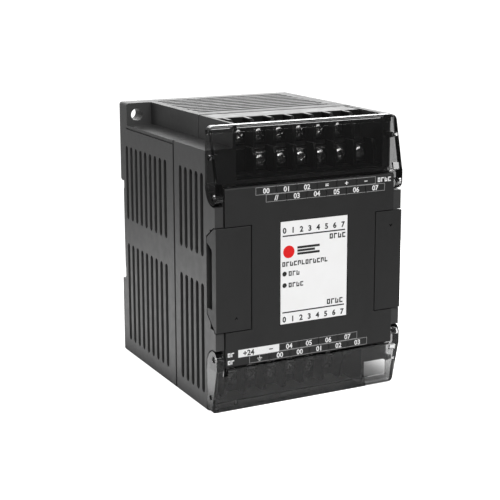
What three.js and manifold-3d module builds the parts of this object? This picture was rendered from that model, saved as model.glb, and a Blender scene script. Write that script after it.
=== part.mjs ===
// A DIN-rail input/output module for a programmable controller, as separate pieces.
//
// Millimetres, +Z up. The front faces -Y. The origin is the centre of the footprint, on the bottom
// face. Depths are measured back from the front plane, because the pieces stack that way: the
// covers and the front panel, the front housing, the boards, and the rear housing on its rail.
// The top and bottom terminal blocks, and both screw channels, are one design turned half a turn.

import * as THREE from 'three';
import { mergeVertices } from 'three/addons/utils/BufferGeometryUtils.js';
import Module from 'manifold-3d';

const wasm = await Module();
wasm.setup();

// ---- Driving dimensions ----

const width = 70;
const depth = 82;
const height = 95;
const side = width / 2;
const front = -depth / 2;
const gap = 0.3;
const wall = 2;
const past = 1; // how far a cutter runs past the face that it cuts

const seamDepth = 33.4; // where the front housing meets the rear housing
const bayDepth = 7.7; // the housing stands back this far behind the terminal covers
const panel = { face: 0.1, side: 32, bottom: 16.3, top: 75.7, back: 1.2, chamfer: 0.5 };
const frontWall = { depth: 1.5, thickness: 2 };
const corner = { housing: 1, cover: 1.8 }; // radii of the long outer edges
const reveal = { width: 0.8, depth: 0.6 }; // the shadow groove round the seam
const rail = {
  seat: 79.5, bottom: 28.6, top: 66, lipDepth: 80.8, lipReach: 1.8,
  reliefBottom: 33.2, reliefTop: 63.2, relief: 0.4,
};
const channel = { inner: 25.4, floor: 87, end: 75, wall: 1.2, screwX: 31, screwZ: 90.7, screwRadius: 2.25 };
const vent = {
  halfWidth: 1.15, roofHalfWidth: 1, rearStart: 40.2, rearPitch: 4.425, rearCount: 9,
  frontStart: 10.4, frontPitch: 4.22, frontCount: 5,
};
const ventRows = [[5.6, 43], [52, 79.5]];
const label = { left: -11.6, right: 13.6, bottom: 28.4, top: 62.9, face: 0.2, recess: 0.7 };
const port = { bottom: 28.5, top: 62.8, leftEdge: -22.4, rightEdge: 24.8, sideDepth: 6.9 };
const hinge = { depth: 2.3, inset: 2.9, pinRadius: 0.8, lugRadius: 2.8, armWidth: 2.7 };
const cover = { wall: 1.2, backDepth: 7.4, lipDepth: 6.4, lipDrop: 2.7, catchDepth: 4.8 };
const terminal = { count: 6, pitch: 7.62, upperX: -17.4, lowerX: -13.6, upperZ: 89, lowerZ: 81.6 };
const block = { left: -23.9, right: 31.2, bottom: 76.9, roofDepth: 22.3, lowerDepth: 13.7, tierZ: 85.3 };
const board = { thickness: 1.6, logicDepth: 14, powerDepth: 37 };

// ---- Solids: shapes and boxes, joined and cut ----

function toSolid(geometry) {
  const bare = geometry.clone();
  bare.deleteAttribute('normal');
  bare.deleteAttribute('uv');
  const merged = mergeVertices(bare);
  const vertProperties = new Float32Array(merged.attributes.position.array);
  const triVerts = new Uint32Array(merged.index.array);
  return new wasm.Manifold(new wasm.Mesh({ numProp: 3, vertProperties, triVerts }));
}

function toGeometry(solid) {
  const mesh = solid.getMesh();
  const geometry = new THREE.BufferGeometry();
  geometry.setAttribute('position', new THREE.BufferAttribute(mesh.vertProperties, 3));
  geometry.setIndex(new THREE.BufferAttribute(mesh.triVerts, 1));
  geometry.computeVertexNormals();
  return geometry;
}

const join = (...solids) => solids.flat(2).reduce((whole, next) => whole.add(next));
const cut = (whole, ...cutters) => cutters.flat(2).reduce((rest, next) => rest.subtract(next), whole);

// A box from its ranges in X, depth and Z.
function box([x0, x1], [d0, d1], [z0, z1]) {
  const geometry = new THREE.BoxGeometry(x1 - x0, d1 - d0, z1 - z0);
  geometry.translate((x0 + x1) / 2, front + (d0 + d1) / 2, (z0 + z1) / 2);
  return toSolid(geometry);
}

function extrude(shape, length) {
  return new THREE.ExtrudeGeometry(shape, { depth: length, bevelEnabled: false, curveSegments: 2 });
}

const outline = (points) => new THREE.Shape(points.map(([a, b]) => new THREE.Vector2(a, b)));

const profileToX = new THREE.Matrix4().makeBasis(
  new THREE.Vector3(0, 1, 0), new THREE.Vector3(0, 0, 1), new THREE.Vector3(1, 0, 0));

// A side outline, drawn as depth and Z, run along X.
function alongX(shape, [x0, x1]) {
  const geometry = extrude(shape, x1 - x0).applyMatrix4(profileToX);
  geometry.translate(x0, front, 0);
  return toSolid(geometry);
}

// A front outline, drawn as X and Z, run back from one depth to another.
function alongDepth(shape, [d0, d1]) {
  const geometry = extrude(shape, d1 - d0).rotateX(Math.PI / 2);
  geometry.translate(0, front + d1, 0);
  return toSolid(geometry);
}

function rodX([x0, x1], d, z, radius, sides = 16) {
  const geometry = new THREE.CylinderGeometry(radius, radius, x1 - x0, sides).rotateZ(Math.PI / 2);
  geometry.translate((x0 + x1) / 2, front + d, z);
  return toSolid(geometry);
}

function rodY(x, [d0, d1], z, radius, sides = 16) {
  const geometry = new THREE.CylinderGeometry(radius, radius, d1 - d0, sides);
  geometry.translate(x, front + (d0 + d1) / 2, z);
  return toSolid(geometry);
}

// The same solid after half a turn about the middle of the front face.
const turned = (solid) => solid.rotate([0, 180, 0]).translate([0, 0, height]);
const bothWays = (solid) => [solid, turned(solid)];
const mirroredX = (solid) => solid.mirror([1, 0, 0]);
const bothSides = (solid) => [solid, mirroredX(solid)];

// A slot with round ends, as a shape from (a, low) to (a, high).
function slotShape(a, low, high, radius) {
  const shape = new THREE.Shape();
  shape.absarc(a, high - radius, radius, 0, Math.PI, false);
  shape.absarc(a, low + radius, radius, Math.PI, 2 * Math.PI, false);
  shape.closePath();
  return shape;
}

// A rectangle with round corners.
function roundedShape([x0, x1], [z0, z1], radius) {
  const shape = new THREE.Shape();
  shape.absarc(x1 - radius, z0 + radius, radius, -Math.PI / 2, 0, false);
  shape.absarc(x1 - radius, z1 - radius, radius, 0, Math.PI / 2, false);
  shape.absarc(x0 + radius, z1 - radius, radius, Math.PI / 2, Math.PI, false);
  shape.absarc(x0 + radius, z0 + radius, radius, Math.PI, 1.5 * Math.PI, false);
  shape.closePath();
  return shape;
}

const count = (n) => Array.from({ length: n }, (_, i) => i);

// ---- Housing details shared by both halves ----

// The open corner along which a screwdriver reaches the fixing ear.
function screwChannel(depths) {
  return box([-side - past, -channel.inner], depths, [channel.floor, height + past]);
}

function sideVents(start, pitch, total) {
  const slots = count(total).flatMap((i) => ventRows.map(([low, high]) =>
    alongX(slotShape(start + i * pitch, low, high, vent.halfWidth), [-side - past, -side + wall + past])));
  return slots.flatMap(bothWays);
}

function roofVents() {
  const ends = [-22.5, 29];
  return count(vent.rearCount).flatMap((i) => {
    const d = vent.rearStart + i * vent.rearPitch;
    const across = [d - vent.roofHalfWidth, d + vent.roofHalfWidth];
    return bothWays(box(ends, across, [height - wall - past, height + past]));
  });
}

function outerShell(depths) {
  return alongDepth(roundedShape([-side, side], [0, height], corner.housing), depths);
}

// The outline of a housing's inside, seen from the front: the walls follow both screw channels.
function insideOutline() {
  const x = side - wall;
  const innerX = channel.inner - channel.wall;
  const top = height - wall;
  const channelZ = channel.floor - channel.wall;
  return outline([
    [-x, wall], [innerX, wall], [innerX, height - channelZ], [x, height - channelZ],
    [x, top], [-innerX, top], [-innerX, channelZ], [-x, channelZ],
  ]);
}

// ---- Rear housing and its rail latch ----

const latch = {
  halfWidth: 8, flange: 1.6, front: 79.3, flangeBack: 80.4, back: 81.7, bottom: 1, lipTop: 32.5,
};
const latchWindow = { halfWidth: 2.6, bottom: 6, top: 24 };
const pullSlot = { halfWidth: 3, bottom: 2.2, top: 3.8 };
const spring = { seatTop: 13, depth: 80.5, coilX: 1, coilY: 0.8, wireRadius: 0.25, turns: 5, end: 0.6 };
const hookSpan = [12, 26];

function railChannel() {
  const open = depth + past;
  return alongX(outline([
    [rail.seat, rail.bottom], [open, rail.bottom], [open, rail.top + 1.2],
    [depth - 1, rail.top], [rail.seat, rail.top],
  ]), [-side - past, side + past]);
}

// Shallow steps beside the rail's seat, so that it is clear of the hooks and of the latch's lip.
function railReliefs() {
  const depths = [rail.seat - rail.relief, rail.seat + past];
  const across = [-side - past, side + past];
  return [
    box(across, depths, [rail.bottom, rail.reliefBottom]),
    box(across, depths, [rail.reliefTop, rail.top]),
  ];
}

function railHooks() {
  const hook = outline([
    [rail.lipDepth, rail.top - rail.lipReach], [depth - 0.5, rail.top - rail.lipReach],
    [depth, rail.top - rail.lipReach + 0.5], [depth, rail.top + 1.5], [rail.lipDepth, rail.top + 1.5],
  ]);
  return bothSides(alongX(hook, hookSpan));
}

function latchGroove() {
  const wide = latch.halfWidth + latch.flange + gap;
  const narrow = latch.halfWidth + gap;
  return [
    box([-wide, wide], [latch.front - gap, latch.flangeBack + gap], [-past, rail.bottom + past]),
    box([-narrow, narrow], [latch.flangeBack - gap, depth + past], [-past, rail.bottom + past]),
  ];
}

// A fine groove in the side, just under the floor of each screw channel.
function channelEdgeGrooves() {
  const groove = { below: 0.9, width: 0.5, depth: 0.5 };
  const top = channel.floor - groove.below;
  return bothWays(box([-side - past, -side + groove.depth], [seamDepth - past, channel.end + groove.width],
    [top - groove.width, top]));
}

const boardPosts = [[-28, 14], [28, 18], [-28, 77], [28, 81]];
const post = { radius: 3, back: 77.5, pilotRadius: 1.25, pilotBack: 50 };

function makeRearHousing() {
  const shell = outerShell([seamDepth, depth]);
  const inside = alongDepth(insideOutline(), [seamDepth - past, 77]);
  const hollow = cut(shell, inside, bothWays(screwChannel([seamDepth - past, channel.end])));
  const postFront = board.powerDepth + board.thickness + gap;
  const posts = boardPosts.map(([x, z]) => rodY(x, [postFront, post.back], z, post.radius, 12));
  const pilotSpan = [board.powerDepth, post.pilotBack];
  const pilots = boardPosts.map(([x, z]) => rodY(x, pilotSpan, z, post.pilotRadius, 8));
  const earSpan = [channel.end - past, depth + past];
  const ears = bothWays(rodY(-channel.screwX, earSpan, channel.screwZ, channel.screwRadius, 24));
  const carved = cut(join(hollow, posts), pilots, ears, railChannel(), railReliefs(), latchGroove(),
    sideVents(vent.rearStart, vent.rearPitch, vent.rearCount), roofVents(), channelEdgeGrooves());
  const seatSpan = [latch.front - 1, latch.back - gap];
  const springSeat = box([-2.2, 2.2], seatSpan, [spring.seatTop - 2, spring.seatTop]);
  return join(carved, railHooks(), springSeat);
}

function makeRailLatch() {
  const plate = alongX(outline([
    [latch.front, latch.bottom], [latch.back, latch.bottom], [latch.back, latch.lipTop - 0.8],
    [latch.back - 0.5, latch.lipTop], [rail.lipDepth, latch.lipTop], [rail.lipDepth, rail.bottom - gap],
    [latch.front, rail.bottom - gap],
  ]), [-latch.halfWidth, latch.halfWidth]);
  const flangeEdge = latch.halfWidth + latch.flange;
  const flangeRise = [latch.bottom, rail.bottom - gap];
  const flanges = box([-flangeEdge, flangeEdge], [latch.front, latch.flangeBack], flangeRise);
  const through = [latch.front - past, depth];
  const windowWidth = [-latchWindow.halfWidth, latchWindow.halfWidth];
  const window = box(windowWidth, through, [latchWindow.bottom, latchWindow.top]);
  const slot = box([-pullSlot.halfWidth, pullSlot.halfWidth], through, [pullSlot.bottom, pullSlot.top]);
  return cut(join(plate, flanges), window, slot);
}

// The coil runs along Z between the housing's seat and the top of the latch's window.
function makeLatchSpring() {
  class Coil extends THREE.Curve {
    getPoint(t, target = new THREE.Vector3()) {
      const angle = 2 * Math.PI * spring.turns * t;
      const low = spring.seatTop + spring.end;
      const high = latchWindow.top - spring.end;
      const y = front + spring.depth + spring.coilY * Math.sin(angle);
      return target.set(spring.coilX * Math.cos(angle), y, low + (high - low) * t);
    }
  }
  const wire = new THREE.Shape().absarc(0, 0, spring.wireRadius, 0, 2 * Math.PI, false);
  const steps = 10 * spring.turns;
  const geometry = new THREE.ExtrudeGeometry(wire, { steps, extrudePath: new Coil(), curveSegments: 3 });
  return toSolid(geometry);
}

// ---- Front housing ----

// The side outline of a terminal cover's arm. Heights rise from the panel's edge towards the cover's
// outer end; `rise` turns them into Z for the top or the bottom cover.
const armDrop = hinge.inset + hinge.lugRadius;

function armBack(grow) {
  const bulge = cover.backDepth - hinge.depth + grow;
  const arc = [0, 1, 2, 3, 4, 5].map((t) => {
    const angle = (t / 5) * (Math.PI / 2);
    return [hinge.depth + bulge * Math.sin(angle), -(armDrop + grow) * Math.cos(angle)];
  });
  return [...arc, [hinge.depth + bulge, 1]];
}

function armOutline(rise) {
  const nose = [[0, 1], [0, -armDrop + 2.2], [0.5, -armDrop + 1.1], [1.3, -armDrop + 0.3]];
  return outline([...nose, ...armBack(0)].map(([d, s]) => [d, rise(s)]));
}

// The room for an arm in the housing's corner, open to the front below the arm's nose.
function armRoomOutline(rise) {
  const room = 0.4;
  const points = [[-past, 1], [-past, -armDrop - room], ...armBack(room)];
  return outline(points.map(([d, s]) => [d, rise(s)]));
}

const topRise = (s) => panel.top + s;
const bottomRise = (s) => panel.bottom - s;

function coverSpace() {
  const depths = [-past, bayDepth];
  return [
    box([-side - past, side + past], depths, [panel.top - gap, height + past]),
    box([-side - past, side + past], depths, [-past, panel.bottom + gap]),
  ];
}

function lugRecesses() {
  const beside = [panel.side - 0.1, side + past];
  return [topRise, bottomRise].flatMap((rise) => bothSides(alongX(armRoomOutline(rise), beside)));
}

function hingePins() {
  const reach = [panel.side - 0.6, side - 0.4];
  const heights = [topRise(-hinge.inset), bottomRise(-hinge.inset)];
  return heights.flatMap((z) => bothSides(rodX(reach, hinge.depth, z, hinge.pinRadius)));
}

// Short arms that the terminal covers click over, one at each end of each bay.
function snapArm(sign, z) {
  const arm = box([32.2, 33.5], [4.5, bayDepth + 2.5], [z - 0.9, z + 0.9]);
  return sign > 0 ? arm : mirroredX(arm);
}

const catches = { topLeftZ: 85, topRightZ: 88, bottomLeftZ: 5.7, bottomRightZ: 9.5 };

function snapArms() {
  return [
    snapArm(-1, catches.topLeftZ), snapArm(1, catches.topRightZ),
    snapArm(-1, catches.bottomLeftZ), snapArm(1, catches.bottomRightZ),
  ];
}

function terminalPocket() {
  const pocket = box([block.left - gap, block.right + gap], [bayDepth - 0.2, seamDepth + past],
    [block.bottom - gap, height + past]);
  return bothWays(pocket);
}

// The side outline of a port cover, from the front face back over the housing's corner.
function portSideOutline(grow, withCableSlot) {
  const low = port.bottom - grow;
  const high = port.top + grow;
  const back = port.sideDepth + grow;
  const slot = withCableSlot ? [[back, 57.4], [3.4, 55.6], [3.2, 55], [3.2, 35.8], [back, 35.8]] : [];
  return outline([
    [panel.face, low], [0.8, low], [back, low + 5.2], ...slot.reverse(), [back, high - 3.6], [1.5 + grow, high],
    [panel.face, high],
  ]);
}

function portOpenings() {
  const zRange = [port.bottom - gap, port.top + gap];
  const depths = [-past, frontWall.depth + frontWall.thickness + past];
  const rim = 1;
  const inner = [zRange[0] + rim, zRange[1] - rim];
  return [
    box([-side - past, port.leftEdge + gap], [-past, frontWall.depth + 0.1], zRange),
    box([port.rightEdge - gap, side + past], [-past, frontWall.depth + 0.1], zRange),
    box([-side - past, port.leftEdge - rim], depths, inner),
    box([port.rightEdge + rim, side + past], depths, inner),
    bothSides(alongX(portSideOutline(gap, false), [side - wall - past, side + past])),
  ].flat();
}

function panelSeat() {
  return box([-panel.side, panel.side], [-past, frontWall.depth], [panel.bottom - past, panel.top + past]);
}

function seamReveal() {
  const depths = [seamDepth - gap - reveal.width, seamDepth + past];
  const within = [reveal.depth, height - reveal.depth];
  return cut(box([-side - past, side + past], depths, [-past, height + past]),
    box([-side + reveal.depth, side - reveal.depth], [depths[0] - past, depths[1] + past], within));
}

function makeFrontHousing() {
  const innerFront = frontWall.depth + frontWall.thickness;
  const shell = cut(outerShell([0.7, seamDepth - gap]), seamReveal());
  const mainHollow = box([-side + wall, side - wall], [innerFront, seamDepth + past],
    [height - block.bottom + gap + wall, block.bottom - gap - wall]);
  const besideBlock = box([-side + wall, -channel.inner - channel.wall], [bayDepth + wall, seamDepth + past],
    [block.bottom - gap - wall - past, channel.floor - channel.wall]);
  const indicatorWindow = box([label.left, label.right], [0, innerFront + past], [label.bottom, label.top]);
  const carved = cut(shell, bothWays(screwChannel([-past, seamDepth + past])), coverSpace(), lugRecesses(),
    terminalPocket(), mainHollow, bothWays(besideBlock), panelSeat(), indicatorWindow, portOpenings(),
    sideVents(vent.frontStart, vent.frontPitch, vent.frontCount));
  return join(carved, hingePins(), snapArms());
}

// ---- Front panel, label and light guides ----

const indicator = {
  pitch: 3.15, firstX: -10.2, topZ: 60, bottomZ: 30, statusX: -10.1, powerZ: 45.4, linkZ: 41.5,
};

function indicatorBoxes(halfX, halfZ, depths) {
  return [indicator.topZ, indicator.bottomZ].map((z) => count(8).map((i) => {
    const x = indicator.firstX + i * indicator.pitch;
    return box([x - halfX, x + halfX], depths, [z - halfZ, z + halfZ]);
  }));
}

function makeFrontPanel() {
  const { face, back, bottom, top, chamfer } = panel;
  const edge = panel.side - gap;
  const plate = alongX(outline([
    [face, bottom + chamfer], [face + chamfer, bottom], [back, bottom],
    [back, top], [face + chamfer, top], [face, top - chamfer],
  ]), [-edge, edge]);
  const portZ = [port.bottom - gap, port.top + gap];
  const notches = [
    box([-side, port.leftEdge + gap], [-past, back + past], portZ),
    box([port.rightEdge - gap, side], [-past, back + past], portZ),
  ];
  const labelSeat = box([label.left - gap, label.right + gap], [-past, label.recess],
    [label.bottom - gap, label.top + gap]);
  const statusHoles = [indicator.powerZ, indicator.linkZ].map((z) =>
    rodY(indicator.statusX, [-past, back + past], z, 1, 12));
  return cut(plate, notches, labelSeat, statusHoles, indicatorBoxes(1, 1.3, [0, back + past]));
}

function makeLabelPlate() {
  const sheet = box([label.left, label.right], [label.face, label.face + 0.3], [label.bottom, label.top]);
  const holes = [indicator.powerZ, indicator.linkZ].map((z) => rodY(indicator.statusX, [0, 1], z, 0.85, 16));
  return cut(sheet, holes);
}

// A bar of clear fingers that carries the board's lights to one row of the label's digits.
function makeLightGuide(row) {
  const z = row === 0 ? indicator.topZ : indicator.bottomZ;
  const lastX = indicator.firstX + 7 * indicator.pitch;
  const bar = box([indicator.firstX - 1, lastX + 1], [6, 8], [z - 1.2, z + 1.2]);
  const fingers = indicatorBoxes(0.7, 1, [label.recess + gap, board.logicDepth - 1.2])[row];
  return join(bar, fingers);
}

const makeStatusGuide = (z) => rodY(indicator.statusX, [label.face, board.logicDepth - 1.2], z, 0.55, 12);

// ---- Port covers ----

function makePortCover(sign, edge, withCableSlot) {
  const face = box([edge, side], [panel.face, panel.back], [port.bottom, port.top]);
  const flank = alongX(portSideOutline(0, withCableSlot), [side - 1.2, side]);
  const tabs = [[port.bottom + 1.2, port.bottom + 2.2], [port.top - 2.2, port.top - 1.2]].map((zRange) =>
    box([edge + 3, edge + 7], [panel.back - 0.2, 5], zRange));
  const whole = join(face, flank, tabs);
  return sign > 0 ? whole : mirroredX(whole);
}

// ---- Terminal covers ----

// rise: from the panel's edge to Z. reach: the cover's height. lean: how far its outer edge stands
// back. catchPlaces and notches: the catch holes and the windows beside the hinges, with their side.
function makeTerminalCover({ rise, reach, lean, catchPlaces, notches }) {
  const shape = (points) => outline(points.map(([d, s]) => [d, rise(s)]));
  const t = cover.wall;
  const slope = lean / reach;
  const outside = alongX(shape([
    [0, gap], [lean - 0.1, reach - 0.5], [lean + 0.4, reach], [cover.backDepth, reach], [cover.backDepth, gap],
  ]), [-side, side]);
  const zRange = [rise(reach), rise(-reach)].sort((a, b) => a - b);
  const rounded = outside.intersect(
    alongDepth(roundedShape([-side, side], zRange, corner.cover), [-past, cover.backDepth + past]));
  const innerAt = (s) => t + slope * s + 0.05;
  const inside = alongX(shape([
    [innerAt(0.8) - t, gap - past], [innerAt(0.8), 0.9], [innerAt(reach - t), reach - t],
    [cover.lipDepth, reach - t], [cover.lipDepth, reach - cover.lipDrop],
    [cover.backDepth + past, reach - cover.lipDrop], [cover.backDepth + past, gap - past],
  ]), [-side + t, side - t]);
  const arm = alongX(armOutline(rise), [side - hinge.armWidth, side]);
  const shell = join(cut(rounded, inside), bothSides(arm));
  const pinHoles = bothSides(rodX([side - hinge.armWidth - past, side + past], hinge.depth, rise(-hinge.inset),
    hinge.pinRadius + gap));
  const onSide = (sign, solid) => (sign > 0 ? solid : mirroredX(solid));
  const catchHoles = catchPlaces.map(([sign, z]) =>
    onSide(sign, rodX([side - t - past, side + past], cover.catchDepth, z, 0.9, 12)));
  const windows = notches.map(([sign, from, to, s0, s1]) => {
    const zs = [rise(s0), rise(s1)].sort((a, b) => a - b);
    return onSide(sign, box([from, to], [-past, t + past], zs));
  });
  const lipZ = [rise(reach - t), rise(reach - cover.lipDrop - past)].sort((a, b) => a - b);
  const lipNotch = box([24.6, 25.6], [cover.lipDepth - past, cover.backDepth + past], lipZ);
  return cut(shell, pinHoles, catchHoles, windows, mirroredX(lipNotch));
}

// ---- Terminal blocks and their screws ----

const terminals = count(terminal.count);

// Side outlines of the walls between the terminals of the outer tier and of the inner tier.
const outerWall = outline([
  [22.6, block.tierZ - 1], [15.6, block.tierZ - 1], [15.6, 90.5], [16.6, 94.2], [17.6, 94.9], [22.6, 94.9],
]);
const innerWall = outline([
  [block.lowerDepth + 0.5, 77.5], [8, 77.5], [8, 84.4], [9.4, 86.4], [block.lowerDepth + 0.5, 86.4],
]);

function makeTerminalBlock() {
  const body = alongX(outline([
    [seamDepth - gap, block.bottom], [seamDepth - gap, height - 0.1], [block.roofDepth, height - 0.1],
    [block.roofDepth, block.tierZ], [block.lowerDepth, block.tierZ], [block.lowerDepth, block.bottom + 1.1],
    [8, block.bottom + 1.1], [8, block.bottom],
  ]), [block.left, block.right]);
  const half = 0.65;
  const walls = [0, ...terminals.map((i) => i + 1)].flatMap((i) => {
    const outerX = terminal.lowerX + (i - 1) * terminal.pitch;
    const innerX = terminal.upperX + i * terminal.pitch;
    const outerRib = alongX(outerWall, [outerX - half, outerX + half]);
    const innerRib = alongX(innerWall, [innerX - half, innerX + half]);
    return [outerRib, innerRib];
  });
  const screwHoles = terminals.flatMap((i) => [
    rodY(terminal.upperX + i * terminal.pitch, [block.roofDepth - past, 28.5], terminal.upperZ, 1.6, 10),
    rodY(terminal.lowerX + i * terminal.pitch, [block.lowerDepth - past, 20], terminal.lowerZ, 1.6, 10),
  ]);
  return cut(join(body, walls), screwHoles);
}

const screw = {
  washer: 2.8, washerFront: 0.9, head: 2.6, headFront: 2.6, shank: 1.25, slot: 0.35, slotReach: 1.6,
};
const screwLift = 0.8; // a loosened screw's washer stands this far off its seat

// A pan-head cross-recess screw with its captive square washer. seat is the depth of the washer's back.
function makeTerminalScrew(x, z, seat) {
  const around = (at, half) => [at - half, at + half];
  const washer = box(around(x, screw.washer), [seat - screw.washerFront, seat], around(z, screw.washer));
  const head = rodY(x, [seat - screw.headFront, seat - 0.8], z, screw.head, 12);
  const shank = rodY(x, [seat - 0.5, seat + 5], z, screw.shank, 6);
  const recess = [seat - screw.headFront - past, seat - screw.headFront + 0.9];
  const cross = [
    box(around(x, screw.slotReach), recess, around(z, screw.slot)),
    box(around(x, screw.slot), recess, around(z, screw.slotReach)),
  ];
  return cut(join(washer, head, shank), cross);
}

function upperScrew(i) {
  return makeTerminalScrew(terminal.upperX + i * terminal.pitch, terminal.upperZ, block.roofDepth - screwLift);
}

function lowerScrew(i) {
  return makeTerminalScrew(terminal.lowerX + i * terminal.pitch, terminal.lowerZ, block.lowerDepth - screwLift);
}

// ---- Boards and what stands on them ----

function makeLogicBoard() {
  return box([-30, 30], [board.logicDepth, board.logicDepth + board.thickness], [23, 72]);
}

function makePowerBoard() {
  const plate = box([-32, 32], [board.powerDepth, board.powerDepth + board.thickness], [4, 91]);
  const through = [board.powerDepth - past, board.powerDepth + board.thickness + past];
  const notch = box([-33, -channel.inner + 2.4], through, [83.6, 92]);
  const holes = boardPosts.map(([x, z]) => rodY(x, through, z, 1.6, 12));
  return cut(plate, bothWays(notch), holes);
}

function makeBoardScrew([x, z]) {
  const face = board.powerDepth - gap;
  const head = rodY(x, [face - 1.8, face], z, 2.5, 12);
  const shank = rodY(x, [face - 0.2, face + 9], z, 1, 8);
  const slot = box([x - 3, x + 3], [face - 2.5, face - 1], [z - 0.35, z + 0.35]);
  return cut(join(head, shank), slot);
}

// A box header: an open shroud with two columns of pins that stand on its floor.
function makePortHeader(x0, x1) {
  const back = board.logicDepth - gap;
  const mouth = 6.2;
  const zRange = [36.5, 56.9];
  const shroud = cut(box([x0, x1], [mouth, back], zRange),
    box([x0 + 1, x1 - 1], [mouth - past, back - 2], [zRange[0] + 1, zRange[1] - 1]));
  const pins = count(16).map((i) => {
    const x = (x0 + x1) / 2 + (i % 2 === 0 ? -1 : 1);
    const z = 39 + Math.floor(i / 2) * 2.2;
    return box([x - 0.3, x + 0.3], [mouth + 1, back - 1.5], [z - 0.3, z + 0.3]);
  });
  return join(shroud, pins);
}

// The stacking header between the two boards.
function makeBoardHeader() {
  const face = board.logicDepth + board.thickness + gap;
  const body = box([-14, 14], [face, face + 8], [24, 28.5]);
  const pins = count(10).map((i) => {
    const x = -11.4 + i * 2.54;
    return box([x - 0.32, x + 0.32], [face + 7, board.powerDepth - gap], [26, 26.64]);
  });
  return join(body, pins);
}

function chip([x0, x1], [z0, z1], face, thickness) {
  const body = box([x0, x1], [face - gap - thickness, face - gap], [z0, z1]);
  const mark = rodY(x0 + 1.4, [face - gap - thickness - past, face - gap - thickness + 0.2], z1 - 1.4, 0.5, 10);
  return cut(body, mark);
}

function makeCapacitor(x, z) {
  const back = board.powerDepth - gap;
  const can = new THREE.LatheGeometry([[0, 0], [4.6, 0], [4.9, 0.4], [4.9, 1.4], [4.6, 1.8], [4.9, 2.2],
    [4.9, 13.6], [4.5, 14], [0, 14]].map(([r, h]) => new THREE.Vector2(r, h)), 18);
  can.rotateX(Math.PI); // stands on the board and points at the front
  can.translate(x, front + back, z);
  return toSolid(can);
}

function makeInductor() {
  const back = board.powerDepth - gap;
  const core = box([-6, 6], [back - 8, back], [50, 62]);
  const neck = cut(box([-7, 7], [back - 6.5, back - 1.5], [49, 63]), rodY(0, [back - 7, back - 1], 56, 5.2, 20));
  return cut(core, neck);
}

// ---- The assembly ----

const module = new THREE.Group();

const finishes = {
  housing: { color: 0x3b3b3c, roughness: 0.55, metalness: 0 },
  panel: { color: 0x343435, roughness: 0.6, metalness: 0 },
  label: { color: 0xe8e8e6, roughness: 0.5, metalness: 0 },
  smoked: { color: 0x1c1c1d, roughness: 0.12, metalness: 0 },
  terminal: { color: 0x161616, roughness: 0.45, metalness: 0 },
  plated: { color: 0xb9bcbf, roughness: 0.3, metalness: 1 },
  spring: { color: 0x9a9da0, roughness: 0.35, metalness: 1 },
  latch: { color: 0x1b1b1c, roughness: 0.5, metalness: 0 },
  board: { color: 0x1d5a35, roughness: 0.5, metalness: 0 },
  header: { color: 0x202020, roughness: 0.5, metalness: 0 },
  chip: { color: 0x1a1a1b, roughness: 0.4, metalness: 0 },
  can: { color: 0x8d9093, roughness: 0.35, metalness: 1 },
  guide: { color: 0xdfe6e8, roughness: 0.15, metalness: 0 },
};

function add(name, finish, solid) {
  const mesh = new THREE.Mesh(toGeometry(solid), new THREE.MeshStandardMaterial(finishes[finish]));
  mesh.name = name;
  module.add(mesh);
}

add('rear_housing', 'housing', makeRearHousing());
add('front_housing', 'housing', makeFrontHousing());
add('front_panel', 'panel', makeFrontPanel());
add('label_plate', 'label', makeLabelPlate());
add('top_terminal_cover', 'smoked', makeTerminalCover({
  rise: topRise,
  reach: height - panel.top,
  lean: 4.5,
  catchPlaces: [[-1, catches.topLeftZ], [1, catches.topRightZ]],
  notches: [[1, 31.6, 33.8, 1.2, 3.4]],
}));
add('bottom_terminal_cover', 'smoked', makeTerminalCover({
  rise: bottomRise,
  reach: panel.bottom,
  lean: 4,
  catchPlaces: [[-1, catches.bottomLeftZ], [1, catches.bottomRightZ]],
  notches: [[-1, 30.7, 32.3, 0, 2.8], [1, 31.6, 33.8, 1.2, 3]],
}));
add('left_port_cover', 'panel', makePortCover(-1, -port.leftEdge, true));
add('right_port_cover', 'panel', makePortCover(1, port.rightEdge, false));
add('rail_latch', 'latch', makeRailLatch());
add('latch_spring', 'spring', makeLatchSpring());

add('top_terminal_block', 'terminal', makeTerminalBlock());
add('bottom_terminal_block', 'terminal', turned(makeTerminalBlock()));
for (const i of terminals) {
  add(`top_outer_screw_${i + 1}`, 'plated', upperScrew(i));
  add(`top_inner_screw_${i + 1}`, 'plated', lowerScrew(i));
  add(`bottom_outer_screw_${i + 1}`, 'plated', turned(upperScrew(i)));
  add(`bottom_inner_screw_${i + 1}`, 'plated', turned(lowerScrew(i)));
}

add('logic_board', 'board', makeLogicBoard());
add('power_board', 'board', makePowerBoard());
add('board_header', 'header', makeBoardHeader());
add('left_port_header', 'header', makePortHeader(-29.5, -23.5));
add('right_port_header', 'header', makePortHeader(26, 30));
add('input_light_guide', 'guide', makeLightGuide(0));
add('output_light_guide', 'guide', makeLightGuide(1));
add('power_light_guide', 'guide', makeStatusGuide(indicator.powerZ));
add('link_light_guide', 'guide', makeStatusGuide(indicator.linkZ));
add('processor_chip', 'chip', chip([2, 12], [40, 50], board.logicDepth, 1.4));
add('bus_transceiver', 'chip', chip([15, 20], [52, 56], board.logicDepth, 1.5));
add('output_driver', 'chip', chip([-18, -6], [12.5, 20], board.powerDepth, 2.3));
add('power_inductor', 'header', makeInductor());
add('storage_capacitor_1', 'can', makeCapacitor(16, 52));
add('storage_capacitor_2', 'can', makeCapacitor(16, 64));
boardPosts.forEach((place, i) => add(`board_screw_${i + 1}`, 'plated', makeBoardScrew(place)));

export default module;
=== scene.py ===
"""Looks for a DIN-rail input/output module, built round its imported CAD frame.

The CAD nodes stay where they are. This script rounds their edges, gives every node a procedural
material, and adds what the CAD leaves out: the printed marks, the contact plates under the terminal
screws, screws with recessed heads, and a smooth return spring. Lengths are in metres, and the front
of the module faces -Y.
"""

import math

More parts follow.
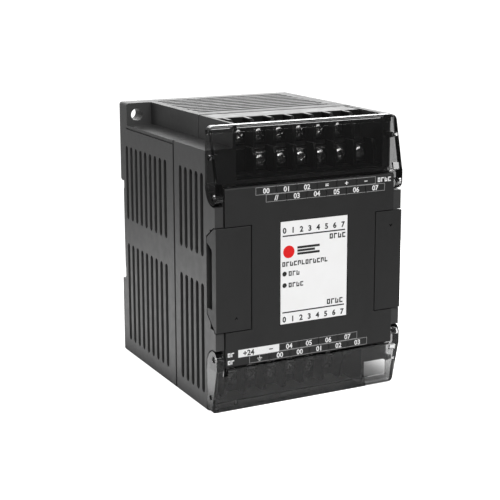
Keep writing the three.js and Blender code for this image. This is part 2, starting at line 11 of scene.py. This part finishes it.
import bmesh
import bpy
from mathutils import Matrix, Vector


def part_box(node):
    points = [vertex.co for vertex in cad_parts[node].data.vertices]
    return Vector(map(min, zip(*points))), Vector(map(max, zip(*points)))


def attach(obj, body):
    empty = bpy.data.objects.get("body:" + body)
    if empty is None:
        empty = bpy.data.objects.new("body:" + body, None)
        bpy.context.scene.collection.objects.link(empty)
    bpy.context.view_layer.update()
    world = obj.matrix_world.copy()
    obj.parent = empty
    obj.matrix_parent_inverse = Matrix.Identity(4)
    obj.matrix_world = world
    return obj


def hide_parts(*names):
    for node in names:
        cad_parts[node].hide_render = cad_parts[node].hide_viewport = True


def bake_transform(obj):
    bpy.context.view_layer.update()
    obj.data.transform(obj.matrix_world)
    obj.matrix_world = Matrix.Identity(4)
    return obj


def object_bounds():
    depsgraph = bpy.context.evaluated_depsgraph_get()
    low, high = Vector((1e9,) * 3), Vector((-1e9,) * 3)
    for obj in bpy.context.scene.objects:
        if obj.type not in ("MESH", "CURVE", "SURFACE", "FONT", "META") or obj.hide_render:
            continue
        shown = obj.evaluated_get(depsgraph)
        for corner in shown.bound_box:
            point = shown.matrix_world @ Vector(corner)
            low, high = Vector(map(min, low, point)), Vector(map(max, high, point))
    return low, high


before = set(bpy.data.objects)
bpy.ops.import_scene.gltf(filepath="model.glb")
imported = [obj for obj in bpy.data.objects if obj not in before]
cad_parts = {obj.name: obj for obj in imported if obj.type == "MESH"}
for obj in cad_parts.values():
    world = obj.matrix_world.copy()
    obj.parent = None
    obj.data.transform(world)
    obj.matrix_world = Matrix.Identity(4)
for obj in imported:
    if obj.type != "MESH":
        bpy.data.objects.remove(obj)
cad_low, cad_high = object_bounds()

MM = 0.001
scene = bpy.context.scene


# ---- Places, read from the frame ----

def low(node):
    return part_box(node)[0]


def high(node):
    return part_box(node)[1]


def middle(node):
    return (low(node) + high(node)) / 2


def nodes_named(*starts):
    return [name for name in sorted(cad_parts) if name.startswith(starts)]


# ---- Camera, lights, floor ----

CAMERA_PLACE = Vector((-198.9, -388.8, 147.8)) * MM
CAMERA_HEADING = math.radians(27.52)
CAMERA_TILT = math.radians(11.56)
CAMERA_LENS = 89.89
CAMERA_SHIFT = (-0.0288, -0.08)


def make_camera():
    data = bpy.data.cameras.new("camera")
    data.sensor_width = 36
    data.lens = CAMERA_LENS
    data.shift_x, data.shift_y = CAMERA_SHIFT
    data.clip_start = 0.01
    data.clip_end = 20
    camera = bpy.data.objects.new("camera", data)
    camera.location = CAMERA_PLACE
    camera.rotation_euler = (math.pi / 2 - CAMERA_TILT, 0, -CAMERA_HEADING)
    scene.collection.objects.link(camera)
    scene.camera = camera


def make_softbox(name, place, size, power):
    """A square area light that points at the middle of the module."""
    data = bpy.data.lights.new(name, "AREA")
    data.size = size
    data.energy = power
    light = bpy.data.objects.new(name, data)
    light.location = place
    aim = (cad_low + cad_high) / 2 - Vector(place)
    light.rotation_euler = aim.to_track_quat("-Z", "Y").to_euler()
    scene.collection.objects.link(light)


# Where the lit backdrop stands, seen from the module: behind it and to the right, low down.
BACKDROP = Vector((0.45, 0.87, 0.0)).normalized()
ROOM_LIGHT = 0.1
FLOOR_RADIUS = 0.22


def faded(tree, value, start, stop, first, last):
    """A smooth change from first to last as a value goes from start to stop."""
    fade = tree.nodes.new("ShaderNodeMapRange")
    fade.interpolation_type = "SMOOTHSTEP"
    for socket, number in zip(("From Min", "From Max", "To Min", "To Max"), (start, stop, first, last)):
        fade.inputs[socket].default_value = number
    tree.links.new(value, fade.inputs["Value"])
    return fade.outputs["Result"]


def arithmetic(tree, operation, *values):
    node = tree.nodes.new("ShaderNodeMath")
    node.operation = operation
    for socket, value in zip(node.inputs, values):
        if isinstance(value, (int, float)):
            socket.default_value = value
        else:
            tree.links.new(value, socket)
    return node.outputs[0]


def make_world():
    """A dim room with a bright backdrop, brighter above the horizon. The camera sees white all round."""
    world = bpy.data.worlds.new("studio")
    world.use_nodes = True
    scene.world = world
    tree = world.node_tree
    background = tree.nodes["Background"]
    background.inputs["Color"].default_value = (1, 1, 1, 1)
    direction = tree.nodes.new("ShaderNodeTexCoord").outputs["Generated"]
    towards = tree.nodes.new("ShaderNodeVectorMath")
    towards.operation = "DOT_PRODUCT"
    towards.inputs[1].default_value = BACKDROP
    parts = tree.nodes.new("ShaderNodeSeparateXYZ")
    tree.links.new(direction, towards.inputs[0])
    tree.links.new(direction, parts.inputs[0])
    backdrop = faded(tree, parts.outputs["Z"], -0.05, 0.15, 1.15, 3.1)
    nearness = faded(tree, towards.outputs["Value"], 0.6, 0.93, 0, 1)
    room = arithmetic(tree, "MULTIPLY_ADD", backdrop, nearness, ROOM_LIGHT)
    seen = tree.nodes.new("ShaderNodeLightPath").outputs["Is Camera Ray"]
    tree.links.new(arithmetic(tree, "MAXIMUM", room, seen), background.inputs["Strength"])


def make_floor(material):
    """A round pale table. Its material lights it, in painted_floor."""
    bm = bmesh.new()
    bmesh.ops.create_circle(bm, cap_ends=True, segments=96, radius=FLOOR_RADIUS)
    mesh = bpy.data.meshes.new("floor")
    bm.to_mesh(mesh)
    bm.free()
    floor = bpy.data.objects.new("floor", mesh)
    floor.data.materials.append(material)
    scene.collection.objects.link(floor)


# ---- Materials ----

class Shader:
    """A node material under construction, with short calls for the nodes that it uses."""

    def __init__(self, name, colour=(0.5, 0.5, 0.5), metallic=0.0):
        self.material = bpy.data.materials.new(name)
        self.material.use_nodes = True
        self.tree = self.material.node_tree
        self.surface = self.tree.nodes["Principled BSDF"]
        self.set("Base Color", (*colour, 1))
        self.set("Metallic", metallic)
        self.place = self.tree.nodes.new("ShaderNodeTexCoord").outputs["Object"]

    def set(self, socket, value):
        self.surface.inputs[socket].default_value = value

    def noise(self, size, detail=2.0, stretch=(1, 1, 1)):
        """Noise whose features are about `size` metres across, longer along a stretched axis."""
        mapping = self.tree.nodes.new("ShaderNodeMapping")
        mapping.inputs["Scale"].default_value = [1 / s for s in stretch]
        texture = self.tree.nodes.new("ShaderNodeTexNoise")
        texture.inputs["Scale"].default_value = 1 / size
        texture.inputs["Detail"].default_value = detail
        self.tree.links.new(self.place, mapping.inputs["Vector"])
        self.tree.links.new(mapping.outputs[0], texture.inputs["Vector"])
        return texture.outputs["Fac"]

    def spread(self, value, first, last, start=0.3, stop=0.7):
        """Maps a value between start and stop onto first to last."""
        node = self.tree.nodes.new("ShaderNodeMapRange")
        node.inputs["From Min"].default_value = start
        node.inputs["From Max"].default_value = stop
        node.inputs["To Min"].default_value = first
        node.inputs["To Max"].default_value = last
        self.tree.links.new(value, node.inputs["Value"])
        return node.outputs["Result"]

    def mix(self, value, first, last):
        node = self.tree.nodes.new("ShaderNodeMix")
        node.data_type = "RGBA"
        node.inputs["A"].default_value = (*first, 1)
        node.inputs["B"].default_value = (*last, 1)
        self.tree.links.new(value, node.inputs["Factor"])
        return node.outputs["Result"]

    def colour(self, value, first, last):
        mixed = self.mix(self.spread(value, 0, 1), first, last)
        self.tree.links.new(mixed, self.surface.inputs["Base Color"])

    def roughness(self, value, first, last):
        self.tree.links.new(self.spread(value, first, last), self.surface.inputs["Roughness"])

    def bump(self, value, height, strength=1.0):
        node = self.tree.nodes.new("ShaderNodeBump")
        node.inputs["Strength"].default_value = strength
        node.inputs["Distance"].default_value = height
        before = self.surface.inputs["Normal"].links
        if before:
            self.tree.links.new(before[0].from_socket, node.inputs["Normal"])
        self.tree.links.new(value, node.inputs["Height"])
        self.tree.links.new(node.outputs[0], self.surface.inputs["Normal"])


def grey(level, warm=0.0):
    """A neutral linear colour, a little warmer or cooler if warm isn't zero."""
    return (level * (1 + warm), level, level * (1 - warm))


def moulded_plastic(name, level, roughness, grain, depth, shine=0.5):
    """Spark-textured plastic: a fine even grain, with faint flow marks from the mould."""
    shader = Shader(name)
    shader.set("Specular IOR Level", shine)
    flow = shader.noise(14 * MM, 3, stretch=(1, 1, 2.5))
    shader.colour(flow, grey(level * 0.92), grey(level * 1.08))
    shader.roughness(shader.noise(3 * MM), roughness - 0.04, roughness + 0.05)
    shader.bump(shader.noise(grain, 3), depth)
    return shader.material


def smoked_plastic(name):
    """Clear polycarbonate with a grey tint, polished, with faint sink marks and dust-fine scuffs."""
    shader = Shader(name)
    shader.set("Transmission Weight", 1.0)
    shader.set("IOR", 1.58)
    shader.colour(shader.noise(20 * MM), grey(0.93), grey(0.99))
    tint = shader.tree.nodes.new("ShaderNodeVolumeAbsorption")
    tint.inputs["Color"].default_value = (0.02, 0.02, 0.02, 1)
    tint.inputs["Density"].default_value = 430
    output = shader.tree.nodes["Material Output"]
    shader.tree.links.new(tint.outputs[0], output.inputs["Volume"])
    shader.roughness(shader.noise(1.2 * MM, 4), 0.004, 0.02)
    shader.bump(shader.noise(9 * MM), 0.02 * MM, 0.15)
    return shader.material


def label_film(name):
    shader = Shader(name)
    shader.colour(shader.noise(8 * MM), grey(0.87, 0.004), grey(0.9))
    shader.roughness(shader.noise(0.8 * MM, 3), 0.42, 0.52)
    shader.bump(shader.noise(0.35 * MM), 0.004 * MM, 0.5)
    return shader.material


def printing_ink(name, first, last):
    shader = Shader(name)
    shader.colour(shader.noise(0.5 * MM, 3), first, last)
    shader.roughness(shader.noise(0.3 * MM), 0.4, 0.55)
    return shader.material


def bare_metal(name, level, roughness, grain, depth, stretch=(1, 1, 1)):
    shader = Shader(name, metallic=1.0)
    shader.colour(shader.noise(4 * grain, 3), grey(level * 0.93, 0.01), grey(level, 0.01))
    shader.roughness(shader.noise(grain, 3, stretch), roughness * 0.75, roughness * 1.3)
    shader.bump(shader.noise(grain, 3, stretch), depth)
    return shader.material


def solder_mask(name):
    """Green board lacquer over copper tracks, which show as slightly raised lighter lines."""
    shader = Shader(name)
    tracks = shader.noise(2.2 * MM, 0, stretch=(1, 1, 5))
    shader.colour(tracks, (0.006, 0.055, 0.022), (0.012, 0.12, 0.045))
    shader.roughness(shader.noise(2 * MM), 0.25, 0.38)
    shader.bump(tracks, 0.02 * MM)
    return shader.material


def clear_resin(name):
    shader = Shader(name, (0.95, 0.97, 0.98))
    shader.set("Transmission Weight", 1.0)
    shader.set("IOR", 1.49)
    shader.roughness(shader.noise(0.6 * MM), 0.08, 0.2)
    return shader.material


def painted_floor(name):
    """White paint, overexposed to the camera. Beside the module, from a little before its front backwards,
    the floor also glows: a painted glow that lights the module's sides.
    """
    shader = Shader(name)
    shader.colour(shader.noise(0.3), grey(0.5), grey(0.54))
    shader.roughness(shader.noise(0.05), 0.75, 0.85)
    shader.set("Emission Color", (1, 1, 1, 1))
    tree = shader.tree
    parts = tree.nodes.new("ShaderNodeSeparateXYZ")
    tree.links.new(shader.place, parts.inputs[0])
    across = arithmetic(tree, "ABSOLUTE", parts.outputs["X"])
    # Painted glow: the floor emits light of its own beside the module's sides, from a little before its
    # front backwards, and lights the module like a lamp.
    beside = faded(tree, across, cad_high.x, cad_high.x + 15 * MM, 0, 1.3)
    behind_front = faded(tree, parts.outputs["Y"], cad_low.y - 20 * MM, cad_low.y + 5 * MM, 0, 1)
    painted_glow = arithmetic(tree, "MULTIPLY", beside, behind_front)
    seen = tree.nodes.new("ShaderNodeLightPath").outputs["Is Camera Ray"]
    tree.links.new(arithmetic(tree, "MAXIMUM", painted_glow, seen), shader.surface.inputs["Emission Strength"])
    return shader.material


MATERIALS = {
    "housing": moulded_plastic("housing_plastic", 0.034, 0.46, 0.35 * MM, 0.02 * MM),
    "panel": moulded_plastic("panel_plastic", 0.02, 0.5, 0.25 * MM, 0.008 * MM, 0.35),
    "latch": moulded_plastic("latch_plastic", 0.012, 0.45, 0.3 * MM, 0.01 * MM),
    "terminal": moulded_plastic("terminal_plastic", 0.008, 0.36, 0.4 * MM, 0.006 * MM, 0.3),
    "header": moulded_plastic("header_plastic", 0.014, 0.4, 0.3 * MM, 0.006 * MM),
    "chip": moulded_plastic("chip_epoxy", 0.01, 0.5, 0.15 * MM, 0.008 * MM),
    "ferrite": moulded_plastic("ferrite", 0.03, 0.62, 0.2 * MM, 0.012 * MM),
    "smoked": smoked_plastic("smoked_cover"),
    "label": label_film("label_sheet"),
    "plated": bare_metal("plated_steel", 0.46, 0.1, 0.5 * MM, 0.04 * MM),
    "contact": bare_metal("contact_strip", 0.11, 0.42, 0.4 * MM, 0.01 * MM),
    "spring": bare_metal("spring_steel", 0.45, 0.3, 0.3 * MM, 0.006 * MM),
    "can": bare_metal("capacitor_can", 0.72, 0.3, 0.2 * MM, 0.004 * MM, (1, 1, 8)),
    "board": solder_mask("board_laminate"),
    "guide": clear_resin("clear_guide"),
    "black_ink": printing_ink("black_ink", grey(0.012), grey(0.02)),
    "red_ink": printing_ink("red_ink", (0.70, 0.004, 0.006), (0.78, 0.008, 0.008)),
    "white_ink": printing_ink("white_ink", grey(0.78), grey(0.85)),
    "grey_ink": printing_ink("grey_ink", grey(0.24), grey(0.3)),
    "gloss_black": moulded_plastic("gloss_black", 0.006, 0.22, 0.4 * MM, 0.002 * MM),
    "floor": painted_floor("floor"),
}

NODE_MATERIALS = [
    (("rear_housing", "front_housing"), "housing"),
    (("front_panel", "left_port_cover", "right_port_cover"), "panel"),
    (("label_plate",), "label"),
    (("top_terminal_cover", "bottom_terminal_cover"), "smoked"),
    (("rail_latch",), "latch"),
    (("latch_spring",), "spring"),
    (("top_terminal_block", "bottom_terminal_block"), "terminal"),
    (("top_outer", "top_inner", "bottom_outer", "bottom_inner", "board_screw"), "plated"),
    (("logic_board", "power_board"), "board"),
    (("board_header", "left_port_header", "right_port_header"), "header"),
    (("processor_chip", "bus_transceiver", "output_driver"), "chip"),
    (("power_inductor",), "ferrite"),
    (("storage_capacitor",), "can"),
    (("input_light", "output_light"), "guide"),
    (("power_light", "link_light"), "smoked"),
]


# ---- Mesh helpers ----

PRINT = 0.04 * MM  # thickness of a printed mark
CAP_HEIGHT = 0.73  # height of a capital letter, as a share of the font's size


def make_piece(name, mesh, finish, body, place=Matrix.Identity(4)):
    """Adds a mesh to the scene with its material, and lets it ride on a CAD body."""
    mesh.materials.clear()
    mesh.materials.append(MATERIALS[finish])
    piece = bpy.data.objects.new(name, mesh)
    piece.matrix_world = place
    scene.collection.objects.link(piece)
    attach(piece, body)
    return piece


def mesh_from(bm, name, smooth=False):
    mesh = bpy.data.meshes.new(name)
    bm.normal_update()
    for face in bm.faces:
        face.smooth = smooth
    bm.to_mesh(mesh)
    bm.free()
    return mesh


def add_box(bm, lowest, highest, bevel=0.0):
    """A box between two corners, with its edges rounded if bevel isn't zero."""
    size = Vector(highest) - Vector(lowest)
    centre = (Vector(highest) + Vector(lowest)) / 2
    place = Matrix.Translation(centre) @ Matrix.Diagonal((*size, 1))
    corners = bmesh.ops.create_cube(bm, size=1, matrix=place)["verts"]
    if bevel:
        edges = {edge for corner in corners for edge in corner.link_edges}
        bmesh.ops.bevel(bm, geom=list(edges), offset=bevel, segments=2, affect="EDGES", profile=0.5)


def add_mesh(bm, mesh, place=Matrix.Identity(4)):
    """Adds a mesh to bm at a place, and deletes the original."""
    mesh.transform(place)
    bm.from_mesh(mesh)
    bpy.data.meshes.remove(mesh)


def evaluated_mesh(piece):
    """The mesh of an object with its modifiers applied. The object is deleted."""
    bpy.context.view_layer.update()
    graph = bpy.context.evaluated_depsgraph_get()
    mesh = bpy.data.meshes.new_from_object(piece.evaluated_get(graph))
    bpy.data.objects.remove(piece)
    return mesh


def temporary(mesh):
    piece = bpy.data.objects.new("temporary", mesh)
    scene.collection.objects.link(piece)
    return piece


def combined(first, second, operation):
    """The mesh that a boolean of two meshes gives."""
    body, tool = temporary(first), temporary(second)
    boolean = body.modifiers.new("boolean", "BOOLEAN")
    boolean.operation = operation
    boolean.solver = "EXACT"
    boolean.object = tool
    mesh = evaluated_mesh(body)
    bpy.data.objects.remove(tool)
    return mesh


def lathed(profile, steps, name):
    """A closed solid of revolution about Z, from (radius, height) points that start and end on the axis."""
    bm = bmesh.new()
    points = [bm.verts.new((radius, 0, height)) for radius, height in profile]
    edges = [bm.edges.new(pair) for pair in zip(points, points[1:])]
    bmesh.ops.spin(bm, geom=points + edges, cent=(0, 0, 0), axis=(0, 0, 1), angle=2 * math.pi, steps=steps)
    bmesh.ops.remove_doubles(bm, verts=bm.verts, dist=0.001 * MM)
    bmesh.ops.recalc_face_normals(bm, faces=bm.faces)
    return mesh_from(bm, name, smooth=True)


# Turns a mesh that is made facing +Z to face the front, -Y.
FACE_FRONT = Matrix.Rotation(math.pi / 2, 4, "X")


# ---- Printed marks ----

class Print:
    """Flat marks on a surface that faces the front, collected into one mesh. Places are in X and Z."""

    def __init__(self, surface_y):
        self.bm = bmesh.new()
        self.back = surface_y + PRINT / 4
        self.front = surface_y - PRINT * 3 / 4

    def bar(self, x0, x1, z0, z1):
        add_box(self.bm, (x0, self.front, z0), (x1, self.back, z1))

    def frame(self, x0, x1, z0, z1, line):
        self.bar(x0, x1, z0, z0 + line)
        self.bar(x0, x1, z1 - line, z1)
        self.bar(x0, x0 + line, z0 + line, z1 - line)
        self.bar(x1 - line, x1, z0 + line, z1 - line)

    def disc(self, x, z, radius):
        place = Matrix.Translation((x, (self.front + self.back) / 2, z)) @ FACE_FRONT
        bmesh.ops.create_cone(self.bm, cap_ends=True, segments=40, radius1=radius, radius2=radius,
                              depth=self.back - self.front, matrix=place)

    def text(self, words, x, z, height, weight=0.0):
        """Lettering of a cap height, centred at x, z. weight thickens the strokes."""
        curve = bpy.data.curves.new("text", "FONT")
        curve.body = words
        curve.size = height / CAP_HEIGHT
        curve.offset = weight
        curve.resolution_u = 3
        curve.extrude = (self.back - self.front) / 2
        curve.align_x = "CENTER"
        piece = bpy.data.objects.new("text", curve)
        scene.collection.objects.link(piece)
        place = Matrix.Translation((x, (self.front + self.back) / 2, z - height / 2)) @ FACE_FRONT
        add_mesh(self.bm, evaluated_mesh(piece), place)
        bpy.data.curves.remove(curve)

    def greeked(self, x, z, height, letters):
        """A stand-in for a word: simple strokes the size of letters. x is its left end."""
        line = height * 0.24
        step = height * 0.92
        wide = height * 0.7
        low_z = z - height / 2
        high_z = z + height / 2
        for i in range(letters):
            left = x + i * step
            right = left + wide
            self.bar(left, left + line, low_z, high_z)
            if i % 3 != 1:
                self.bar(left + line, right, low_z, low_z + line)
            if i % 3 != 2:
                self.bar(left + line, right, high_z - line, high_z)
            if i % 2 == 0:
                self.bar(right - line, right, low_z + line, high_z - line)

    def piece(self, name, finish, body, slot):
        return make_piece(name, mesh_from(self.bm, name), finish, body)


def print_label():
    """The white label: numbered rows for the indicators, rules, and plain marks for its words."""
    lowest, highest = low("label_plate"), high("label_plate")
    surface = lowest.y
    first = middle("power_light_guide").x - 0.1 * MM
    step = 3.15 * MM
    left = lowest.x
    right = highest.x
    digit = 1.85 * MM
    rule = 0.42 * MM
    black = Print(surface)
    for row_z, rule_z in (
        (middle("input_light_guide").z, highest.z - 5 * MM),
        (middle("output_light_guide").z, lowest.z + 3.7 * MM),
    ):
        for i in range(8):
            black.text(str(i), first + i * step, row_z, digit, 0.09 * MM)
        black.bar(left + 0.7 * MM, right - 0.9 * MM, rule_z, rule_z + rule)
    word = 1.75 * MM
    small_word = word * 0.9
    black.greeked(right - 6.8 * MM, highest.z - 6.5 * MM, word, 4)
    black.greeked(right - 7.6 * MM, lowest.z + 5.6 * MM, word, 4)
    black.greeked(left + 0.6 * MM, highest.z - 14.2 * MM, small_word, 12)
    for node, letters in (("power_light_guide", 3), ("link_light_guide", 4)):
        black.greeked(left + 3 * MM, middle(node).z, small_word, letters)
    mark_z = highest.z - 10.2 * MM
    bar_left = left + 6.2 * MM
    bar_step = 1.05 * MM
    bar_height = 0.75 * MM
    for i, length in enumerate((8.4 * MM, 6.6 * MM, 8.4 * MM)):
        bar_z = mark_z + (0.75 - i) * bar_step
        black.bar(bar_left, bar_left + length, bar_z, bar_z + bar_height)
    black.piece("label_print_black", "black_ink", "base", "label_sheet")
    red = Print(surface)
    red.disc(left + 3 * MM, mark_z + 0.05 * MM, 2.1 * MM)
    red.piece("label_print_red", "red_ink", "base", "label_sheet")


CELL = 7.5 * MM  # width of a printed cell
CELL_WORD = 1.75 * MM


def print_cells(lines, ink, left, bottom, height, words):
    """A row of outlined cells, one for each terminal, with a word in each."""
    line = 0.16 * MM
    for i, word in enumerate(words):
        x = left + i * CELL
        lines.frame(x, x + CELL + line, bottom, bottom + height, line)
        if word:
            ink.text(word, x + (CELL + line) / 2, bottom + height / 2, CELL_WORD, 0.05 * MM)


def print_earth(ink, x, z):
    """The earth sign: a stem over three bars, each shorter than the one above."""
    line = 0.16 * MM
    for i, half in enumerate((0.9 * MM, 0.6 * MM, 0.3 * MM)):
        bar_z = z - i * 0.45 * MM
        ink.bar(x - half, x + half, bar_z, bar_z + line)
    ink.bar(x - line / 2, x + line / 2, z + line, z + 0.9 * MM)


def print_panel():
    """The terminal numbers along the top and bottom edges of the front panel."""
    lowest, highest = low("front_panel"), high("front_panel")
    surface = lowest.y
    row = 2.55 * MM
    margin = 0.6 * MM
    power_left = -27.2 * MM
    power_word = 1.9 * MM
    white = Print(surface)
    lines = Print(surface)
    top = highest.z - margin - row
    print_cells(lines, white, -20.8 * MM, top, row, ["00", "01", "02", "=", "+", "−"])
    print_cells(lines, white, -17.1 * MM, top - row, row, ["//", "03", "04", "05", "06", "07"])
    white.greeked(25.2 * MM, top + row / 2, 1.5 * MM, 4)
    bottom = lowest.z + margin
    print_cells(lines, white, -23.2 * MM, bottom, row, ["", "00", "00", "01", "02", "03"])
    upper = bottom + row
    power_right = power_left + 2 * CELL
    print_cells(lines, white, power_right, upper, row, ["04", "05", "06", "07"])
    for low_edge in (upper, bottom):
        white.greeked(-31 * MM, low_edge + row / 2, 1.4 * MM, 2)
    print_earth(white, -19.4 * MM, bottom + row / 2)
    white.bar(power_left, power_right, upper, upper + row)
    white.piece("panel_print_white", "white_ink", "base", "panel_plastic")
    lines.piece("panel_print_lines", "grey_ink", "base", "panel_plastic")
    black = Print(surface - PRINT * 3 / 4)
    black.text("+24", power_left + CELL / 2, upper + row / 2, power_word, 0.07 * MM)
    black.text("−", power_left + 1.6 * CELL, upper + row / 2, power_word, 0.07 * MM)
    black.piece("panel_print_black", "black_ink", "base", "panel_plastic")


def mark_port_cover(node, body, x, z, point):
    """A small raised arrowhead on a port cover. point is 1 if it points up, or -1 if down."""
    ink = Print(low(node).y)
    arm = 0.55 * MM
    line = 0.15 * MM
    steps = 5
    slope = 1.3
    for i in range(steps):
        across = arm * i / steps
        step_z = z - point * across * slope
        for way in (-1, 1):
            centre = x + way * across
            ink.bar(centre - line, centre + line, step_z - line, step_z + line)
    ink.piece(f"{node}_arrow", "gloss_black", body, "panel_plastic")


# ---- Terminals ----

SCREW_FRONT_TO_SEAT = 2.6 * MM  # from the front of a CAD screw to the back of its washer
WASHER_HALF = 2.8 * MM
WASHER_THICKNESS = 0.85 * MM
RECESS = (3.1 * MM, 0.62 * MM, 1.7 * MM)  # length, width and depth of one slot of the cross
RECESS_HEIGHT = 2.3 * MM  # of a slot's middle above the seat
PLATE_HALF = 3.05 * MM

# Half of the head's section, as radius and height in mm, from the crown to the underside.
HEAD_PROFILE = (
    (0, 2.55), (0.9, 2.52), (1.6, 2.36), (2.1, 2.08), (2.42, 1.7), (2.5, 1.3), (2.5, 0.6), (0, 0.6),
)
THREAD_CREST = 1.25
THREAD_ROOT = 1.05
SHANK_END = -4.6


def scaled(profile):
    """A profile in mm, in metres."""
    return [(radius * MM, height * MM) for radius, height in profile]


def screw_mesh(angle):
    """A pan-head screw with a cross recess turned by an angle, and its captive square washer. It faces +Z,
    and its seat is at Z = 0."""
    head = lathed(scaled(HEAD_PROFILE), 36, "head")
    threads = [(THREAD_CREST if i % 2 else THREAD_ROOT, -0.3 - 0.35 * i) for i in range(12)]
    shank = lathed(scaled([(0, 0.9), (1.1, 0.9), *threads, (0, SHANK_END)]), 20, "shank")
    washer = bmesh.new()
    corner = (WASHER_HALF, WASHER_HALF, WASHER_THICKNESS)
    add_box(washer, (-WASHER_HALF, -WASHER_HALF, 0), corner, 0.22 * MM)
    body = combined(head, mesh_from(washer, "washer"), "UNION")
    body = combined(body, shank, "UNION")
    # One slot at a time: a cutter that overlaps itself would leave nothing of the screw.
    for turn in (0, math.pi / 2):
        slot = bmesh.new()
        bmesh.ops.create_cube(slot, size=1, matrix=Matrix.Diagonal((*RECESS, 1)))
        for vertex in slot.verts:
            if vertex.co.z < 0:
                vertex.co.x *= 0.45
                vertex.co.y *= 0.7
        place = Matrix.Translation((0, 0, RECESS_HEIGHT)) @ Matrix.Rotation(turn + angle, 4, "Z")
        slot.transform(place)
        body = combined(body, mesh_from(slot, "slot"), "DIFFERENCE")
    return body


def finish_screws():
    """Replaces each terminal's CAD screw, and puts a contact plate behind its washer."""
    meshes = [screw_mesh(angle) for angle in (0.2, 1.1, 0.65, 1.4)]
    for bay in ("top", "bottom"):
        plates = bmesh.new()
        for i, node in enumerate(nodes_named(f"{bay}_outer_screw", f"{bay}_inner_screw")):
            centre = middle(node)
            seat = Vector((centre.x, low(node).y + SCREW_FRONT_TO_SEAT, centre.z))
            place = Matrix.Translation(seat) @ FACE_FRONT
            piece = make_piece(f"{node}_finished", meshes[i % 4], "plated", "base", place)
            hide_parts(node)
            front_corner = seat + Vector((-PLATE_HALF, 0.05 * MM, -PLATE_HALF))
            back_corner = seat + Vector((PLATE_HALF, 0.65 * MM, PLATE_HALF))
            add_box(plates, front_corner, back_corner, 0.1 * MM)
        make_piece(f"{bay}_contact_plates", mesh_from(plates, "plates"), "contact", "base")


# ---- Latch spring ----

SPRING_TURNS = 7
WIRE_RADIUS = 0.24 * MM


def finish_spring():
    """A smooth coil with closed end turns. It stands on its seat in the housing, and the latch presses
    its top."""
    lowest, highest = low("latch_spring"), high("latch_spring")
    wire = WIRE_RADIUS
    centre = (lowest + highest) / 2
    radius = (highest.y - lowest.y) / 2 - wire
    bottom, top = lowest.z + wire, highest.z - wire
    steps = 24 * SPRING_TURNS
    curve = bpy.data.curves.new("coil", "CURVE")
    curve.dimensions = "3D"
    curve.bevel_depth = wire
    curve.bevel_resolution = 3
    curve.use_fill_caps = True
    spline = curve.splines.new("POLY")
    spline.points.add(steps)
    for i, point in enumerate(spline.points):
        turn = SPRING_TURNS * i / steps
        rise = min(max((turn - 1) / (SPRING_TURNS - 2), 0), 1)
        closed = 1.1 * wire * (min(turn, 1) - min(SPRING_TURNS - turn, 1))
        angle = 2 * math.pi * turn
        z = bottom + wire + (top - bottom - 2 * wire) * rise + closed
        point.co = (centre.x + radius * math.cos(angle), centre.y + radius * math.sin(angle), z, 1)
    coil = bpy.data.objects.new("coil", curve)
    scene.collection.objects.link(coil)
    mesh = evaluated_mesh(coil)
    bpy.data.curves.remove(curve)
    for face in mesh.polygons:
        face.use_smooth = True
    piece = bpy.data.objects.new("latch_spring_coil", mesh)
    mesh.materials.clear()
    mesh.materials.append(MATERIALS["spring"])
    scene.collection.objects.link(piece)
    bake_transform(piece)
    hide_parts("latch_spring")


# ---- CAD nodes: rounded edges and materials ----

EDGE_RADII = {
    "rear_housing": 0.3 * MM,
    "front_housing": 0.3 * MM,
    "front_panel": 0.2 * MM,
    "left_port_cover": 0.35 * MM,
    "right_port_cover": 0.35 * MM,
    "top_terminal_cover": 0.35 * MM,
    "bottom_terminal_cover": 0.35 * MM,
    "top_terminal_block": 0.2 * MM,
    "bottom_terminal_block": 0.2 * MM,
    "rail_latch": 0.25 * MM,
}


def round_edges(node, radius):
    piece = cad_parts[node]
    weld = piece.modifiers.new("weld", "WELD")
    weld.merge_threshold = 0.002 * MM
    planar = piece.modifiers.new("planar", "DECIMATE")
    planar.decimate_type = "DISSOLVE"
    planar.angle_limit = math.radians(1)
    bevel = piece.modifiers.new("bevel", "BEVEL")
    bevel.width = radius
    bevel.segments = 2
    bevel.limit_method = "ANGLE"
    bevel.angle_limit = math.radians(32)
    bevel.use_clamp_overlap = True
    bevel.harden_normals = True


def finish_nodes():
    for starts, finish in NODE_MATERIALS:
        for node in nodes_named(*starts):
            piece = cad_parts[node]
            piece.data.materials.clear()
            piece.data.materials.append(MATERIALS[finish])
    for node, radius in EDGE_RADII.items():
        round_edges(node, radius)


# ---- The scene ----

scene.view_settings.view_transform = "Standard"
make_camera()
make_world()
make_softbox("left_softbox", (-0.8, 0.3, 0.12), 0.5, 2.5)
make_softbox("front_glint", (-0.3, -0.7, 0.75), 0.3, 4.2)
make_softbox("front_fill", (0.1, -0.75, 0.9), 0.8, 10.4)
make_floor(MATERIALS["floor"])
finish_nodes()
finish_screws()
finish_spring()
print_label()
print_panel()
mark_port_cover("left_port_cover", "left_cap", -27.8 * MM, 33 * MM, 1)
mark_port_cover("right_port_cover", "right_cap", 30.8 * MM, 57.5 * MM, -1)
